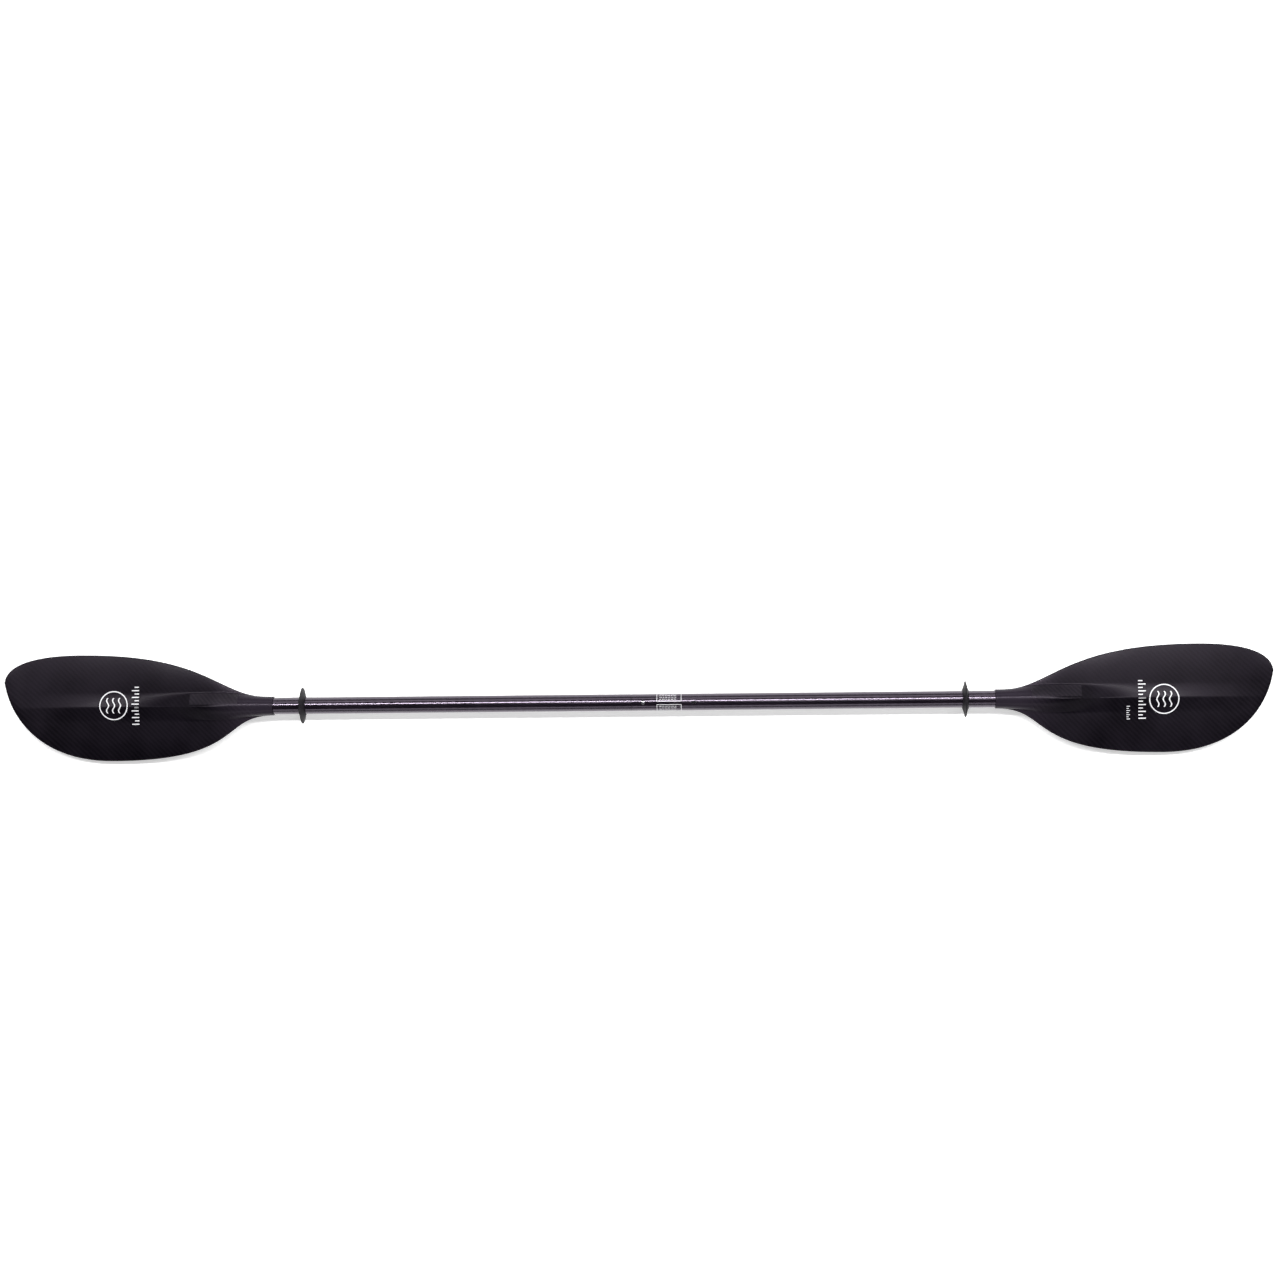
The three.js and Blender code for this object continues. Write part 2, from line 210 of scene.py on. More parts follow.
# %% [markdown]
# ## Turning a tree into a plain piece
# A piece leaves this script as a plain mesh with its place in its points, so the modifier's result
# is copied out and the modifier goes. Doubled points are merged and the faces are turned outwards.

# %% From a tree to a mesh
SHARP_DEGREES = 35


def plain_piece(name, mesh, sharp_degrees=SHARP_DEGREES):
    """A finished object at the origin, with outward faces and smooth shading up to an angle."""
    build = bmesh.new()
    build.from_mesh(mesh)
    bmesh.ops.remove_doubles(build, verts=build.verts, dist=1e-6)
    bmesh.ops.dissolve_degenerate(build, edges=build.edges, dist=1e-7)
    bmesh.ops.recalc_face_normals(build, faces=build.faces)
    if build.calc_volume(signed=True) < 0:
        bmesh.ops.reverse_faces(build, faces=build.faces)
    for face in build.faces:
        face.smooth = True
    build.to_mesh(mesh)
    build.free()
    mesh.set_sharp_from_angle(angle=math.radians(sharp_degrees))
    piece = bpy.data.objects.new(name, mesh)
    bpy.context.scene.collection.objects.link(piece)
    return piece


def evaluated_mesh(holder):
    graph = bpy.context.evaluated_depsgraph_get()
    return bpy.data.meshes.new_from_object(
        holder.evaluated_get(graph), preserve_all_data_layers=True, depsgraph=graph
    )


def grown(name, recipe, sizes, sharp_degrees=SHARP_DEGREES):
    """Runs a tree with the given sizes and returns its result as a plain piece."""
    holder = bpy.data.objects.new(name + "_holder", bpy.data.meshes.new(name + "_holder"))
    bpy.context.scene.collection.objects.link(holder)
    modifier = holder.modifiers.new("Grow", "NODES")
    modifier.node_group = recipe.tree
    for size, value in sizes.items():
        modifier[recipe.sizes[size]] = float(value)
    mesh = evaluated_mesh(holder)
    bpy.data.objects.remove(holder)
    return plain_piece(name, mesh, sharp_degrees)


print("piece helpers ready")

# %% [markdown]
# ## Carbon cloth
# A carbon blade is woven cloth in clear resin. Flat black would look like plastic, so the finish
# draws the weave: bundles of fibre two millimetres wide that pass over two and under two. A bundle
# that runs along the paddle catches the light unlike one that runs across, so their colour, their
# roughness and a shallow relief all differ. The clear resin on top is the coat of the shader.

# %% Carbon materials
def shader_math(tree, operation, *values):
    made = tree.nodes.new("ShaderNodeMath")
    made.operation = operation
    for socket, value in zip(made.inputs, values):
        if isinstance(value, bpy.types.NodeSocket):
            tree.links.new(value, socket)
        else:
            socket.default_value = value
    return made.outputs[0]


def new_material(name, color, roughness, **sockets):
    material = bpy.data.materials.new(name)
    material.use_nodes = True
    shader = material.node_tree.nodes["Principled BSDF"]
    shader.inputs["Base Color"].default_value = (*color, 1)
    shader.inputs["Roughness"].default_value = roughness
    for socket, value in sockets.items():
        shader.inputs[socket.replace("_", " ")].default_value = value
    return material, material.node_tree, shader


def place_on_surface(tree, around_shaft):
    """Two distances over a surface: along the paddle, and across the blade or round the shaft."""
    spot = tree.nodes.new("ShaderNodeTexCoord").outputs["Object"]
    split = tree.nodes.new("ShaderNodeSeparateXYZ")
    tree.links.new(spot, split.inputs[0])
    along, across, up = split.outputs
    if around_shaft:
        turn = shader_math(tree, "ARCTAN2", across, up)
        across = shader_math(tree, "MULTIPLY", turn, shaft_radius)
    return spot, along, across


def ramp(tree, value, low, high, dark, light):
    made = tree.nodes.new("ShaderNodeMapRange")
    tree.links.new(value, made.inputs["Value"])
    for key, number in zip(("From Min", "From Max", "To Min", "To Max"), (low, high, dark, light)):
        made.inputs[key].default_value = number
    return made.outputs[0]


def blend(tree, share, first, second):
    """Mixes two colours by a share. Each is three numbers or a colour socket."""
    made = tree.nodes.new("ShaderNodeMix")
    made.data_type = "RGBA"
    tree.links.new(share, made.inputs["Factor"])
    for key, color in (("A", first), ("B", second)):
        if isinstance(color, bpy.types.NodeSocket):
            tree.links.new(color, made.inputs[key])
        else:
            made.inputs[key].default_value = (*color, 1)
    return made.outputs["Result"]


def noise_at(tree, spot, scale, detail):
    made = tree.nodes.new("ShaderNodeTexNoise")
    made.inputs["Scale"].default_value = scale
    made.inputs["Detail"].default_value = detail
    tree.links.new(spot, made.inputs["Vector"])
    return made.outputs["Fac"]


def relief_from(tree, shader, height, strength, depth):
    bump = tree.nodes.new("ShaderNodeBump")
    bump.inputs["Strength"].default_value = strength
    bump.inputs["Distance"].default_value = depth
    tree.links.new(height, bump.inputs["Height"])
    tree.links.new(bump.outputs[0], shader.inputs["Normal"])


def attribute(tree, name):
    made = tree.nodes.new("ShaderNodeAttribute")
    made.attribute_name = name
    return made.outputs["Fac"]


def twill(tree, along, across, bundle):
    """Where the bundle on top runs lengthways, and how far it swells."""
    column = shader_math(tree, "DIVIDE", along, bundle)
    row = shader_math(tree, "DIVIDE", across, bundle)
    step = shader_math(
        tree, "ADD", shader_math(tree, "FLOOR", column), shader_math(tree, "FLOOR", row)
    )
    lengthways = shader_math(tree, "LESS_THAN", shader_math(tree, "FLOORED_MODULO", step, 4.0), 2.0)
    swell = tree.nodes.new("ShaderNodeMix")
    tree.links.new(lengthways, swell.inputs["Factor"])
    tree.links.new(shader_math(tree, "PINGPONG", column, 0.5), swell.inputs["A"])
    tree.links.new(shader_math(tree, "PINGPONG", row, 0.5), swell.inputs["B"])
    return lengthways, swell.outputs["Result"]


# The neck colour is lighter than the blade's: a painted sheen for the glossy neck catching the
# light.
NECK_SHEEN_COLOR = (0.019, 0.0150, 0.0220)
SCUFF_COLOR = (0.045, 0.042, 0.047)


def blade_wear_and_sheen(tree, spot, shade, rough, polished):
    """Polishes the held neck with a painted sheen, and scuffs the rim, where it meets the bank."""
    neck = attribute(tree, "polish_and_sheen")
    # Painted sheen: the neck's colour is blended towards a lighter one.
    shade = blend(tree, neck, shade, NECK_SHEEN_COLOR)
    rough = shader_math(tree, "MULTIPLY_ADD", neck, -polished, rough)
    chips = ramp(tree, noise_at(tree, spot, 170.0, 3.0), 0.46, 0.62, 0.0, 0.8)
    scuffed = shader_math(tree, "MULTIPLY", attribute(tree, "rim"), chips)
    shade = blend(tree, scuffed, shade, SCUFF_COLOR)
    rough = shader_math(tree, "MULTIPLY_ADD", scuffed, 0.22, rough)
    return shade, rough


def woven_carbon(
    name, dark, light, gloss, roughness, bundle, relief, around_shaft=False, slant=0.0, polished=0.0
):
    material, tree, shader = new_material(
        name, dark, roughness, Coat_Weight=0.04, Coat_Roughness=0.2, Specular_IOR_Level=gloss
    )
    shader.inputs["Specular Tint"].default_value = (0.93, 0.79, 1.0, 1)
    spot, along, across = place_on_surface(tree, around_shaft)
    if slant:
        turned_along = shader_math(tree, "MULTIPLY_ADD", across, slant, along)
        across = shader_math(tree, "MULTIPLY_ADD", along, -slant, across)
        along = turned_along
    lengthways, swell = twill(tree, along, across, bundle)
    clouds = noise_at(tree, spot, 14.0, 4.0)
    tone = shader_math(
        tree, "MULTIPLY_ADD", lengthways, 0.38, ramp(tree, clouds, 0.35, 0.65, 0.0, 0.62)
    )
    shade = blend(tree, tone, dark, light)
    resin = ramp(tree, clouds, 0.3, 0.7, roughness - 0.04, roughness + 0.05)
    rough = shader_math(tree, "MULTIPLY_ADD", lengthways, 0.07, resin)
    if polished:
        shade, rough = blade_wear_and_sheen(tree, spot, shade, rough, polished)
    tree.links.new(shade, shader.inputs["Base Color"])
    tree.links.new(rough, shader.inputs["Roughness"])
    relief_from(tree, shader, swell, 0.35, relief)
    return material


blade_carbon = woven_carbon(
    "blade_carbon", (0.0014, 0.0011, 0.0020), (0.0062, 0.0050, 0.0078), 0.085, 0.33, 2.4 * MM,
    0.06 * MM, polished=0.17,
)
# The ply's colours are lighter than the blade's: painted light, where light falls on the crest's
# upper side.
ply_carbon_painted_light = woven_carbon(
    "ply_carbon_painted_light", (0.0040, 0.0033, 0.0050), (0.0190, 0.0160, 0.0210), 0.15, 0.38, 2.0 * MM,
    0.12 * MM,
)
shaft_carbon = woven_carbon(
    "shaft_carbon", (0.0035, 0.0023, 0.0045), (0.0080, 0.0056, 0.0096), 0.92, 0.135, 1.8 * MM,
    0.006 * MM, True, 0.5,
)
print("carbon finishes:", blade_carbon.name, shaft_carbon.name)

# %% [markdown]
# ## The other finishes
# Moulded nylon, soft rubber, foam and white ink are plain in colour, so a fine noise in their
# roughness and relief does the work. Rubber is rough with a broad soft sheen, and ink is nearly
# flat.

# %% Plain materials
def grained(name, color, roughness, grain, relief, spread=0.06, **sockets):
    material, tree, shader = new_material(name, color, roughness, **sockets)
    spot = tree.nodes.new("ShaderNodeTexCoord").outputs["Object"]
    noise = noise_at(tree, spot, 1 / grain, 4.0)
    rough = ramp(tree, noise, 0.3, 0.7, roughness - spread, roughness + spread)
    tree.links.new(rough, shader.inputs["Roughness"])
    darker = [c * 0.88 for c in color]
    lighter = [min(c * 1.12, 1.0) for c in color]
    shade = blend(tree, ramp(tree, noise, 0.3, 0.7, 0.0, 1.0), darker, lighter)
    tree.links.new(shade, shader.inputs["Base Color"])
    relief_from(tree, shader, noise, 0.3, relief)
    return material


rubber = grained(
    "soft_rubber", (0.0085, 0.0070, 0.0095), 0.58, 1.5 * MM, 0.05 * MM, Specular_IOR_Level=0.15
)
black_nylon = grained("black_nylon", (0.012, 0.012, 0.013), 0.42, 0.8 * MM, 0.02 * MM)
grey_nylon = grained("grey_nylon", (0.16, 0.16, 0.17), 0.40, 0.8 * MM, 0.02 * MM)
button_steel = grained("button_steel", (0.34, 0.34, 0.36), 0.22, 0.8 * MM, 0.01 * MM, Metallic=1.0)
pale_nylon = grained("pale_nylon", (0.62, 0.62, 0.60), 0.40, 0.8 * MM, 0.02 * MM)
foam = grained("closed_cell_foam", (0.62, 0.57, 0.47), 0.85, 0.6 * MM, 0.15 * MM)
white_ink = grained("white_ink", (0.72, 0.72, 0.74), 0.45, 2.0 * MM, 0.01 * MM)
dark_ink = grained("dark_ink", (0.01, 0.01, 0.012), 0.5, 2.0 * MM, 0.01 * MM)
smoked_plastic = grained(
    "smoked_plastic", (0.10, 0.10, 0.11), 0.10, 1.0 * MM, 0.005 * MM, 0.03,
    Transmission_Weight=0.85, IOR=1.49, Specular_IOR_Level=0.2,
)
print("plain finishes ready")

# %% [markdown]
# ## The blades
# A touring blade starts as a round neck, fans out to a wide, lopsided leaf and ends in a blunt tip.
# Its power face has a crest down the middle whose two slopes shed the water evenly. Sculpting that
# twice would never match, but the shape follows a rule, so a Geometry Nodes tree makes it. An edge
# is a short line and two Bezier segments. A grid of points is stretched from the lower edge to the
# upper one, and a formula lifts each point to its height. The grid goes out over the face and comes
# back under it, one skin thick, so that each skin is a closed shell.

# %% The blade tree
ROWS = 190
COLUMNS = 281
SEAM = 0.02 * MM
TIP_OFFSET = 43 * MM
UPPER_EDGE = {
    "neck": 13.5, "out": 82.5, "into": 235, "widest": 348, "half": 92.2, "run": 102, "tip": 23,
}
LOWER_EDGE = {
    "neck": 2, "out": 94.5, "into": 240, "widest": 290, "half": 95.2, "run": 192, "tip": -35,
}
BLADE_SIZES = (
    "Side", "Face", "Neck End", "Length", "Neck Radius", "Ridge", "Belly", "Tip Lift", "Dihedral",
    "Skin",
)
NECK_SPAN = 97 * MM
RIM_THICKNESS = 1.2 * MM
CREST_THICKNESS = 3.2 * MM
LINE_END = 0.04
FLARE_END = 0.6


def edge_point(recipe, edge, sign, line_share, flare_share, run_share):
    """Follows one edge of the blade: a line, a flare and a run to the tip, added end to end."""
    size = {key: value * MM for key, value in edge.items()}
    length = recipe.size("Length")
    radius = recipe.size("Neck Radius")

    def spot(x, y):
        return recipe.node("ShaderNodeCombineXYZ", {"X": x, "Y": y}).outputs[0]

    side = radius * sign
    neck = spot(size["neck"], side)
    widest = spot(size["widest"], sign * size["half"])
    tip = spot(length, TIP_OFFSET)
    line = recipe.node("GeometryNodeCurvePrimitiveLine", {"Start": spot(0.0, side), "End": neck})
    flare = recipe.node(
        "GeometryNodeCurvePrimitiveBezierSegment",
        {
            "Resolution": 200,
            "Start": neck,
            "Start Handle": spot(size["neck"] + size["out"], side),
            "End Handle": spot(size["widest"] - size["into"], sign * size["half"]),
            "End": widest,
        },
    )
    run = recipe.node(
        "GeometryNodeCurvePrimitiveBezierSegment",
        {
            "Resolution": 200,
            "Start": widest,
            "Start Handle": spot(size["widest"] + size["run"], sign * size["half"]),
            "End Handle": spot(length, TIP_OFFSET + sign * size["tip"]),
            "End": tip,
        },
    )

    def along(curve, share):
        sampler = recipe.node(
            "GeometryNodeSampleCurve", {"Curves": curve.outputs[0], "Factor": share}, mode="FACTOR"
        )
        split = recipe.node("ShaderNodeSeparateXYZ", {"Vector": sampler.outputs["Position"]})
        return Number(recipe, split.outputs[0]), Number(recipe, split.outputs[1])

    line_x, line_y = along(line, line_share)
    flare_x, flare_y = along(flare, flare_share)
    run_x, run_y = along(run, run_share)
    x = line_x + (flare_x - size["neck"]) + (run_x - size["widest"])
    y = line_y + (flare_y - side) + (run_y - sign * size["half"])
    return x, y


def blade_tree(material):
    recipe = Recipe("Blade Skin", BLADE_SIZES)
    grid = recipe.node(
        "GeometryNodeMeshGrid",
        {"Size X": 1.0, "Size Y": 1.0, "Vertices X": ROWS, "Vertices Y": COLUMNS},
    )
    split = recipe.node("ShaderNodeSeparateXYZ", {"Vector": grid.outputs["UV Map"]})
    row = Number(recipe, split.outputs[0])
    column = Number(recipe, split.outputs[1])

    # The first two rows share a station, to close the end of the neck with a flat ring.
    first_row = 1 - row.over(0.5 / (ROWS - 1))
    u = ((row * (ROWS - 1) - 1) / (ROWS - 2)).within()
    across = 1 - (column * 4 - 2).size()
    inside = column.over(0.5) * (1 - column.over(1 - 0.5 / (COLUMNS - 1))) * (1 - first_row)

    line_share = (u / LINE_END).within()
    flare_share = ((u - LINE_END) / (FLARE_END - LINE_END)).within()
    run_share = ((u - FLARE_END) / (1 - FLARE_END)).within()
    run_share = 1 - (1 - run_share).power(1.25)
    low_x, low_y = edge_point(recipe, LOWER_EDGE, -1, line_share, flare_share, run_share)
    up_x, up_y = edge_point(recipe, UPPER_EDGE, 1, line_share, flare_share, run_share)

    # The crest runs down the axis and turns off to the tip.
    on_axis = ((0 - low_y) / (up_y - low_y).at_least(1e-5)).within()
    crest_share = mix(on_axis, 0.5, run_share.ease(0.4, 0.96))
    crest_x = mix(low_x, up_x, crest_share)
    crest_y = mix(low_y, up_y, crest_share)
    upper = across.over(0.0)
    edge_x = mix(low_x, up_x, upper)
    edge_y = mix(low_y, up_y, upper)
    share = recipe.sum("SINE", across.size() * (math.pi / 2))
    x = mix(crest_x, edge_x, share)
    y = mix(crest_y, edge_y, share)
    reach_x = edge_x - crest_x
    reach_y = edge_y - crest_y
    half = (reach_x * reach_x + reach_y * reach_y).root()

    # The neck is round. Past it a plate carries a hump that turns from round to a roof.
    length = recipe.size("Length")
    radius = recipe.size("Neck Radius")
    begun = x.ease(20 * MM, 95 * MM)
    spine = mix(
        radius - begun * CREST_THICKNESS, recipe.size("Ridge"), x.ease(100 * MM, 250 * MM)
    )
    spine = mix(spine, 0.4 * MM, x.ease(250 * MM, 455 * MM))
    reach = mix(radius, 25 * MM, x.ease(10 * MM, 95 * MM))
    off_crest = (y.size() / reach).at_most(1.0)
    dome = (1 - off_crest * off_crest).power(mix(0.5, 1.3, begun))
    hump = spine * mix(dome, (1 - off_crest).power(1.5), x.ease(70 * MM, 190 * MM))
    from_rim = (1 - share) * half
    plate = mix(CREST_THICKNESS, RIM_THICKNESS, share.power(3.0)) * begun
    body = (plate + hump).at_least(begun * RIM_THICKNESS)
    body = mix(body, RIM_THICKNESS, run_share.ease(0.7, 1.0))
    rounding = (1 - (1 - from_rim / (1.6 * MM)).at_least(0.0).power(2.0)).at_least(0.0).root()
    body = body * mix(rounding, 1.0, 1 - begun)

    # Inside, the neck's wall is drawn in towards the axis and the blade's is drawn straight down.
    narrowed = 1 - inside * (1 - begun) * (NECK_WALL / NECK_RADIUS)
    inner_y = y * narrowed
    height = body * narrowed - body.at_most(recipe.size("Skin")) * inside * begun

    # The middle surface is spooned lengthways and drops from the crest to the edges.
    v = ((x - NECK_SPAN) / (length - NECK_SPAN)).within()
    # The belly's curve, v * v * (1 - v), peaks at 1 / 6.75.
    spoon = recipe.size("Tip Lift") * v.power(3.0) - recipe.size("Belly") * 6.75 * v * v * (1 - v)
    drop = recipe.size("Dihedral") * v.ease(0.0, 0.25) * (1 - v.ease(0.5, 0.97))
    at_tip = u.over(1 - 0.5 / (ROWS - 2))
    middle = spoon - drop * share.at_least(at_tip).power(1.5)

    z = middle + recipe.size("Face") * (height + SEAM)
    place = recipe.node(
        "ShaderNodeCombineXYZ",
        {"X": recipe.size("Side") * (recipe.size("Neck End") + x), "Y": inner_y, "Z": z},
    )
    moved = recipe.node(
        "GeometryNodeSetPosition", {"Geometry": grid.outputs["Mesh"], "Position": place.outputs[0]}
    )
    # The neck's share makes the neck smoother and paints it lighter, a painted sheen; the rim's
    # share scuffs the edge.
    polish_and_sheen = 1 - x.ease(30 * MM, 125 * MM)
    rim = (1 - from_rim.ease(0.3 * MM, 2.5 * MM)) * begun
    marked = moved
    for key, value in (("polish_and_sheen", polish_and_sheen), ("rim", rim)):
        marked = recipe.node(
            "GeometryNodeStoreNamedAttribute",
            {"Geometry": marked.outputs[0], "Name": key, "Value": value},
            data_type="FLOAT",
            domain="POINT",
        )
    closed = recipe.node(
        "GeometryNodeMergeByDistance", {"Geometry": marked.outputs[0], "Distance": 1e-6}
    )
    recipe.finish(closed.outputs[0], material)
    return recipe


blade_recipe = blade_tree(blade_carbon)
print("blade tree has", len(blade_recipe.tree.nodes), "nodes")

# %% [markdown]
# ## Four skins from one tree
# The tree is run four times with other inputs. The back faces get a lower crest than the power
# faces, and the left blade is the right one with its side turned round. Each power skin also stands
# for the foam core of its blade, which it closes in.

# %% Grow the four skins
skins = {}
for name, side in SIDES:
    for face_name, face, ridge in (("power", 1, 3.6), ("back", -1, 1.2)):
        node = f"{name}_{face_name}_face_skin"
        skin = grown(
            f"{name}_{face_name}_laminate",
            blade_recipe,
            {
                "Side": side,
                "Face": face,
                "Neck End": neck_end,
                "Length": BLADE_LENGTH,
                "Neck Radius": NECK_RADIUS,
                "Ridge": ridge * MM,
                "Belly": 16 * MM,
                "Tip Lift": 18 * MM,
                "Dihedral": 3.5 * MM,
                "Skin": RIM_THICKNESS,
            },
            sharp_degrees=50,
        )
        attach(skin, f"{name}_half")
        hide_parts(*([node, f"{name}_blade_core"] if face > 0 else [node]))
        skins[node] = skin
        print(skin.name, len(skin.data.polygons), "faces")

# %% [markdown]
# ## Turned parts
# Tubes, rings and the ferrule are round, so each is a closed outline spun about the shaft. The CAD
# solids have forty flat sides, which would show as bands in a highlight, so these use many more.

# %% Spin an outline
def spun(
    name, corners, sides=96, bevel=0.0, sharp_degrees=SHARP_DEGREES, axis="X", centre=(0, 0, 0)
):
    """A closed outline of (along, radius) corners spun about an axis, as a plain piece."""
    build = bmesh.new()
    rings = []
    for i in range(sides):
        turn = 2 * math.pi * i / sides
        ring = []
        for along, radius in corners:
            flat = (radius * math.cos(turn), radius * math.sin(turn))
            spot = (along, *flat) if axis == "X" else (*flat, along)
            ring.append(build.verts.new(Vector(spot) + Vector(centre)))
        rings.append(ring)
    for i in range(sides):
        here, there = rings[i], rings[(i + 1) % sides]
        for j in range(len(corners)):
            k = (j + 1) % len(corners)
            build.faces.new((here[j], here[k], there[k], there[j]))
    mesh = bpy.data.meshes.new(name)
    build.to_mesh(mesh)
    build.free()
    piece = plain_piece(name, mesh, sharp_degrees)
    if bevel:
        soften(piece, bevel)
    return piece


def soften(piece, width, segments=3):
    """Rounds a piece's sharp edges, as a mould or a file leaves them."""
    modifier = piece.modifiers.new("Rounded edges", "BEVEL")
    modifier.width = width
    modifier.segments = segments
    modifier.limit_method = "ANGLE"
    modifier.angle_limit = math.radians(30)
    settle(piece)


def settle(piece):
    """Applies a piece's modifiers."""
    mesh = evaluated_mesh(piece)
    piece.modifiers.clear()
    old = piece.data
    piece.data = mesh
    bpy.data.meshes.remove(old)
    mesh.set_sharp_from_angle(angle=math.radians(SHARP_DEGREES))


def bored(piece, cutter, operation="DIFFERENCE"):
    """Cuts one piece's shape out of another, or keeps what they share."""
    modifier = piece.modifiers.new("Bore", "BOOLEAN")
    modifier.operation = operation
    modifier.solver = "EXACT"
    modifier.object = cutter
    settle(piece)
    bpy.data.objects.remove(cutter)


def dress(piece, body, nodes, material):
    piece.data.materials.clear()
    piece.data.materials.append(material)
    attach(piece, body)
    if nodes:
        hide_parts(*nodes)
    return piece


print("spinning helpers ready")

# %% [markdown]
# ## The shaft
# The shaft is a carbon tube in two halves. The right half has a round hole for the button and a
# small window, so a round peg and a slot with round ends are cut out of it with a Boolean.

# %% Shaft tubes
HEAD_RADIUS = 3.2 * MM
HOLE_RADIUS = 3.65 * MM
WINDOW = (9 * MM, 4.6 * MM)
CUT = (8 * MM, 20 * MM)
button_station = button_low.x + 1 * MM + HEAD_RADIUS


def tube_outline(start, end, inner, outer, steps=1):
    outside = [(start + (end - start) * i / steps, outer) for i in range(steps + 1)]
    return outside + [(end, inner), (start, inner)]


def round_cutter(station, radius, bottom, top):
    outline = [(bottom, 0.01 * MM), (bottom, radius), (top, radius), (top, 0.01 * MM)]
    return spun("cutter", outline, 48, axis="Z", centre=(station, 0, 0))


def slot_cutter(centre, length, width, bottom, top):
    """An upright slot with round ends, for a window or a spring arm."""
    build = bmesh.new()
    turns = 16
    loop = []
    for end in (1, -1):
        for i in range(turns + 1):
            turn = math.pi * i / turns - math.pi / 2
            x = centre.x + end * ((length - width) / 2 + width / 2 * math.cos(turn))
            loop.append((x, end * width / 2 * math.sin(turn)))
    low = [build.verts.new((x, y, bottom)) for x, y in loop]
    high = [build.verts.new((x, y, top)) for x, y in loop]
    build.faces.new(low[::-1])
    build.faces.new(high)
    for i in range(len(loop)):
        k = (i + 1) % len(loop)
        build.faces.new((low[i], low[k], high[k], high[i]))
    mesh = bpy.data.meshes.new("cutter")
    build.to_mesh(mesh)
    build.free()
    return plain_piece("cutter", mesh)


def open_joint(tube):
    """Cuts the button's hole and the window into a tube of the right half."""
    bored(tube, round_cutter(button_station, HOLE_RADIUS, *CUT))
    bored(tube, slot_cutter(window_centre, *WINDOW, *CUT))


for name, side in SIDES:
    start, end = sorted((side * tube_low.x, side * shaft_end))
    tube = spun(f"{name}_tube", tube_outline(start, end, shaft_bore, shaft_radius), 128)
    soften(tube, 0.35 * MM)
    if side > 0:
        open_joint(tube)
    dress(tube, f"{name}_half", [f"{name}_shaft_tube"], shaft_carbon)
    print(tube.name, len(tube.data.polygons), "faces")

# %% [markdown]
# ## Drip rings
# A soft rubber ring stops water that runs down the blade. It is thick on the shaft and thin at the
# lip, with two sloping flanks. The outline is drawn as a few curved corners and spun.

# %% Drip rings
def ring_outline():
    bore = shaft_radius + 0.3 * MM
    base = 5.25 * MM
    lip = 0.8 * MM
    shoulder = bore + 1.6 * MM
    right = []
    steps = 10
    for i in range(steps + 1):
        share = i / steps
        width = base + (lip - base) * share ** 0.8
        right.append((width, shoulder + (RING_RADIUS - 0.6 * MM - shoulder) * share))
    edge = RING_RADIUS - 0.15 * MM
    rim = [(0.45 * MM, edge), (0.0, RING_RADIUS), (-0.45 * MM, edge)]
    left = [(-x, r) for x, r in reversed(right)]
    return [(-base, bore), (base, bore)] + right + rim + left


for name, side in SIDES:
    outline = [(x + side * ring_station, r) for x, r in ring_outline()]
    ring = spun(f"{name}_ring", outline, 96, sharp_degrees=60)
    dress(ring, f"{name}_ring", [f"{name}_drip_ring"], rubber)
    print(ring.name, len(ring.data.polygons), "faces")

# %% [markdown]
# ## The ferrule
# Inside the joint a moulded spindle from the left half carries a sleeve with the button and a ring
# with the feather angles. They show when the halves are pulled apart, so they are spun as smooth
# parts with rounded edges, and the sleeve gets its slot for the button's arm.

# %% Ferrule parts
male_low, male_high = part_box("male_ferrule")
sleeve_low, sleeve_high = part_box("index_sleeve")
scale_low, scale_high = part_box("feather_scale_ring")
cap_low, cap_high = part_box("ferrule_end_cap")
SLEEVE_RADIUS = 11.3 * MM
SPINDLE_RADIUS = 9 * MM
SPINDLE_BORE = 2.2 * MM
WAIST_RADIUS = 4.75 * MM
WAIST = (11 * MM, 75 * MM)
BONDED_RADIUS = 12.85 * MM
BONDED_BORE = BONDED_RADIUS - 2.4 * MM
BONDED_END = -0.3 * MM
POCKET_END = -8 * MM
CLOSED = 0.02 * MM
turning_bore = SPINDLE_RADIUS + 0.3 * MM

male = spun(
    "male_insert",
    [
        (male_low.x, BONDED_BORE),
        (POCKET_END, BONDED_BORE),
        (POCKET_END, SPINDLE_BORE),
        (male_high.x, SPINDLE_BORE),
        (male_high.x, SPINDLE_RADIUS),
        (WAIST[1], SPINDLE_RADIUS),
        (WAIST[1], WAIST_RADIUS),
        (WAIST[0], WAIST_RADIUS),
        (WAIST[0], SPINDLE_RADIUS),
        (BONDED_END, SPINDLE_RADIUS),
        (BONDED_END, BONDED_RADIUS),
        (male_low.x, BONDED_RADIUS),
    ],
    bevel=0.3 * MM,
)
dress(male, "left_half", ["male_ferrule"], black_nylon)

sleeve = spun(
    "turning_sleeve",
    tube_outline(sleeve_low.x, sleeve_high.x, turning_bore, SLEEVE_RADIUS),
    bevel=0.3 * MM,
)
arm_slot = Vector(((14.8 * MM + 73 * MM) / 2, 0, 0))
bored(sleeve, slot_cutter(arm_slot, 58.2 * MM, 7.8 * MM, 2 * MM, CUT[1]))
dress(sleeve, "sleeve", ["index_sleeve"], grey_nylon)

scale_ring = spun(
    "angle_ring",
    tube_outline(scale_low.x, scale_high.x, turning_bore, SLEEVE_RADIUS),
    bevel=0.3 * MM,
)
dress(scale_ring, "left_half", ["feather_scale_ring"], pale_nylon)

cap = spun(
    "spindle_cap",
    [
        (cap_low.x, CLOSED),
        (cap_low.x, SLEEVE_RADIUS),
        (cap_high.x - 1.2 * MM, SLEEVE_RADIUS),
        (cap_high.x, SLEEVE_RADIUS - 1.2 * MM),
        (cap_high.x, CLOSED),
    ],
    bevel=0.25 * MM,
)
dress(cap, "left_half", ["ferrule_end_cap"], black_nylon)
print("ferrule parts:", male.name, sleeve.name, scale_ring.name, cap.name)

# %% [markdown]
# ## The spring button
# A round steel head sits on a long plastic arm inside the sleeve. Pressed, it bends the arm and
# lets the halves come apart. The head is spun about the upright axis with a domed top, so that a
# thumb finds it and so that it shows a small bright spot.

